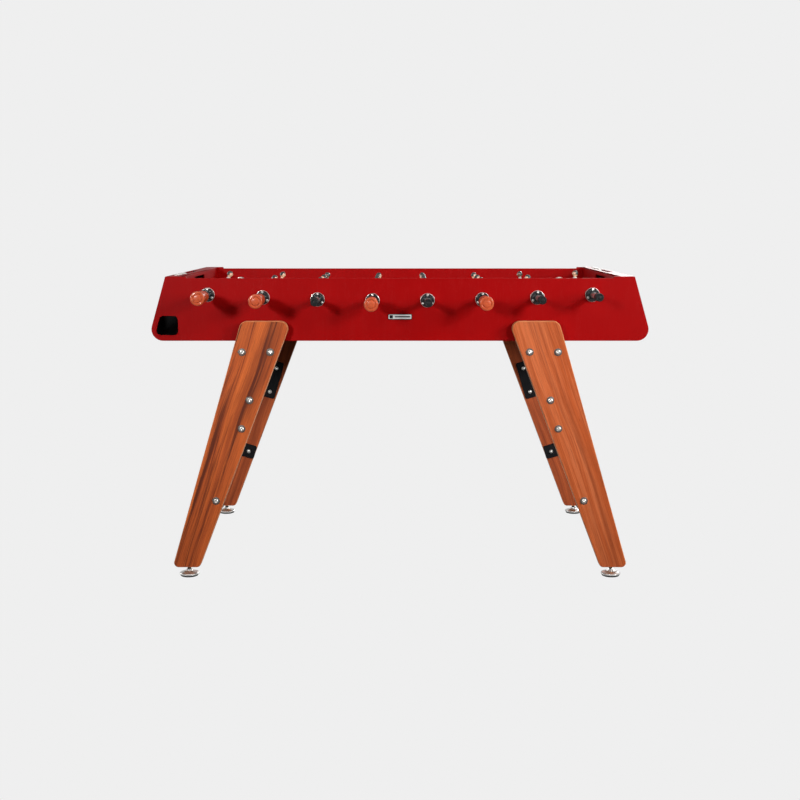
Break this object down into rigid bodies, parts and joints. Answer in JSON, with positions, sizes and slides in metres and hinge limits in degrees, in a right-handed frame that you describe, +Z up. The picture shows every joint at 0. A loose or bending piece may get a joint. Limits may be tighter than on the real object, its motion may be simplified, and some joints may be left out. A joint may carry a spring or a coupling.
{
  "type": "foosball table",
  "caption": "Free-standing foosball table with a slanted steel body on splayed timber legs, sliding and spinning player rods, score beads and side ball outlets.",
  "frame": {"origin": "on the floor, under the middle of the table", "axes": "+X along the table, +Y from the front side to the back side, +Z up"},
  "size_m": [1.4908, 1.134, 0.916],
  "materials": {
    "red_steel": "satin powder coat, slightly varied in depth",
    "field_laminate": "matt green laminate with white field lines",
    "black_steel": "fine-textured black powder coat",
    "black_nylon": "moulded black nylon with soft sheen",
    "stainless_steel": "brushed stainless steel",
    "dark_metal": "dark coated sheet and wire",
    "white_beads": "glossy white plastic",
    "iroko_wood": "oiled hardwood, orange-brown with dark streaks",
    "polished_steel": "polished steel with fine turning marks",
    "team_red": "painted player, salmon-red shirt, dark hair",
    "team_white": "painted player, white shirt, dark hair",
    "keeper_grey": "painted keeper, pale grey shirt, dark hair",
    "turned_wood": "turned and varnished hardwood",
    "black_rubber": "soft black rubber"
  },
  "bodies": {
    "frame": {"front_panel": "red_steel", "back_panel": "red_steel", "end_panel_left": "red_steel", "end_panel_right": "red_steel", "goal_left": "red_steel", "goal_right": "red_steel", "playfield": "field_laminate", "field_beams": "black_steel", "ball_returns": "black_steel", "bearings": "black_nylon", "bearing_rings": "stainless_steel", "bearing_screws": "stainless_steel", "score_rails": "dark_metal", "name_plate": "stainless_steel", "leg_front_left": "iroko_wood", "leg_front_right": "iroko_wood", "leg_back_left": "iroko_wood", "leg_back_right": "iroko_wood", "leg_brackets": "black_steel", "leg_plates": "black_steel", "leg_bolts": "stainless_steel", "leg_nuts": "stainless_steel"},
    "carriage_1": {"rubbers_1": "black_rubber"},
    "rod_1": {"rod_1": "polished_steel", "figures_1": "keeper_grey", "grip_1": "turned_wood"},
    "carriage_2": {"rubbers_2": "black_rubber"},
    "rod_2": {"rod_2": "polished_steel", "figures_2": "team_red", "grip_2": "turned_wood"},
    "carriage_3": {"rubbers_3": "black_rubber"},
    "rod_3": {"rod_3": "polished_steel", "figures_3": "team_white", "grip_3": "turned_wood"},
    "carriage_4": {"rubbers_4": "black_rubber"},
    "rod_4": {"rod_4": "polished_steel", "figures_4": "team_red", "grip_4": "turned_wood"},
    "carriage_5": {"rubbers_5": "black_rubber"},
    "rod_5": {"rod_5": "polished_steel", "figures_5": "team_white", "grip_5": "turned_wood"},
    "carriage_6": {"rubbers_6": "black_rubber"},
    "rod_6": {"rod_6": "polished_steel", "figures_6": "team_red", "grip_6": "turned_wood"},
    "carriage_7": {"rubbers_7": "black_rubber"},
    "rod_7": {"rod_7": "polished_steel", "figures_7": "team_white", "grip_7": "turned_wood"},
    "carriage_8": {"rubbers_8": "black_rubber"},
    "rod_8": {"rod_8": "polished_steel", "figures_8": "keeper_grey", "grip_8": "turned_wood"},
    "score_left": {"score_beads_left": "white_beads"},
    "score_right": {"score_beads_right": "white_beads"},
    "foot_front_left": {"foot_front_left": "polished_steel"},
    "foot_front_right": {"foot_front_right": "polished_steel"},
    "foot_back_left": {"foot_back_left": "polished_steel"},
    "foot_back_right": {"foot_back_right": "polished_steel"}
  },
  "joints": [
    {"name": "rod_1_slide", "type": "slide", "parent": "frame", "child": "carriage_1", "axis": [0, 1, 0], "range_m": [-0.062, 0.062]},
    {"name": "rod_1_spin", "type": "hinge", "parent": "carriage_1", "child": "rod_1", "pos_m": [-0.5747, 0, 0.85852], "axis": [0, 1, 0], "continuous": true},
    {"name": "rod_2_slide", "type": "slide", "parent": "frame", "child": "carriage_2", "axis": [0, 1, 0], "range_m": [-0.062, 0.062]},
    {"name": "rod_2_spin", "type": "hinge", "parent": "carriage_2", "child": "rod_2", "pos_m": [-0.4105, 0, 0.85019], "axis": [0, 1, 0], "continuous": true},
    {"name": "rod_3_slide", "type": "slide", "parent": "frame", "child": "carriage_3", "axis": [0, 1, 0], "range_m": [-0.062, 0.062]},
    {"name": "rod_3_spin", "type": "hinge", "parent": "carriage_3", "child": "rod_3", "pos_m": [-0.2463, 0, 0.84463], "axis": [0, 1, 0], "continuous": true},
    {"name": "rod_4_slide", "type": "slide", "parent": "frame", "child": "carriage_4", "axis": [0, 1, 0], "range_m": [-0.062, 0.062]},
    {"name": "rod_4_spin", "type": "hinge", "parent": "carriage_4", "child": "rod_4", "pos_m": [-0.0821, 0, 0.84185], "axis": [0, 1, 0], "continuous": true},
    {"name": "rod_5_slide", "type": "slide", "parent": "frame", "child": "carriage_5", "axis": [0, 1, 0], "range_m": [-0.062, 0.062]},
    {"name": "rod_5_spin", "type": "hinge", "parent": "carriage_5", "child": "rod_5", "pos_m": [0.0821, 0, 0.84185], "axis": [0, 1, 0], "continuous": true},
    {"name": "rod_6_slide", "type": "slide", "parent": "frame", "child": "carriage_6", "axis": [0, 1, 0], "range_m": [-0.062, 0.062]},
    {"name": "rod_6_spin", "type": "hinge", "parent": "carriage_6", "child": "rod_6", "pos_m": [0.2463, 0, 0.84463], "axis": [0, 1, 0], "continuous": true},
    {"name": "rod_7_slide", "type": "slide", "parent": "frame", "child": "carriage_7", "axis": [0, 1, 0], "range_m": [-0.062, 0.062]},
    {"name": "rod_7_spin", "type": "hinge", "parent": "carriage_7", "child": "rod_7", "pos_m": [0.4105, 0, 0.85019], "axis": [0, 1, 0], "continuous": true},
    {"name": "rod_8_slide", "type": "slide", "parent": "frame", "child": "carriage_8", "axis": [0, 1, 0], "range_m": [-0.062, 0.062]},
    {"name": "rod_8_spin", "type": "hinge", "parent": "carriage_8", "child": "rod_8", "pos_m": [0.5747, 0, 0.85852], "axis": [0, 1, 0], "continuous": true},
    {"name": "score_left_slide", "type": "slide", "parent": "frame", "child": "score_left", "axis": [0, 1, 0], "range_m": [0, 0.202]},
    {"name": "score_right_slide", "type": "slide", "parent": "frame", "child": "score_right", "axis": [0, -1, 0], "range_m": [0, 0.202]},
    {"name": "foot_front_left_screw", "type": "slide", "parent": "frame", "child": "foot_front_left", "axis": [0, 0, -1], "range_m": [-0.0015, 0.012]},
    {"name": "foot_front_right_screw", "type": "slide", "parent": "frame", "child": "foot_front_right", "axis": [0, 0, -1], "range_m": [-0.0015, 0.012]},
    {"name": "foot_back_left_screw", "type": "slide", "parent": "frame", "child": "foot_back_left", "axis": [0, 0, -1], "range_m": [-0.0015, 0.012]},
    {"name": "foot_back_right_screw", "type": "slide", "parent": "frame", "child": "foot_back_right", "axis": [0, 0, -1], "range_m": [-0.0015, 0.012]}
  ]
}
